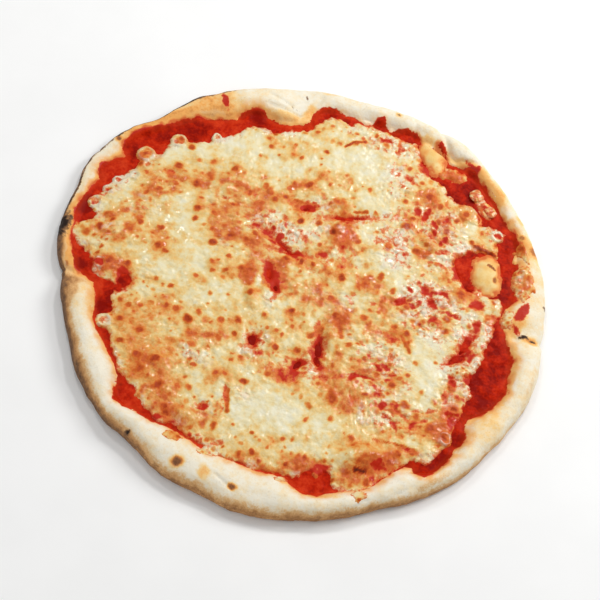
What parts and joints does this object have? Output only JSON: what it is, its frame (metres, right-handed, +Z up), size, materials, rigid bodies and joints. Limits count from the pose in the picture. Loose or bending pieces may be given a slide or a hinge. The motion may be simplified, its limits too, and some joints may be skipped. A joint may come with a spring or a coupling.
{
  "type": "margherita pizza",
  "caption": "Whole round margherita pizza: uneven puffy baked rim, thin tomato sauce, and a blistered sheet of melted mozzarella with browned spots.",
  "frame": {"origin": "middle of the pizza's underside, where it lies on the table", "axes": "+Z up through the pizza's thin direction; -Y towards the picture's near side, +X to its right"},
  "size_m": [0.3022, 0.2974, 0.0152],
  "materials": {
    "baked_dough": "matt floury dough, browned and charred in places",
    "tomato_sauce": "wet, glossy",
    "melted_cheese": "soft oily sheen with browned blisters"
  },
  "bodies": {
    "root": {"crust": "baked_dough", "tomato_sauce": "tomato_sauce", "mozzarella": "melted_cheese", "cheese_drop_1": "melted_cheese", "cheese_drop_2": "melted_cheese"}
  },
  "joints": []
}
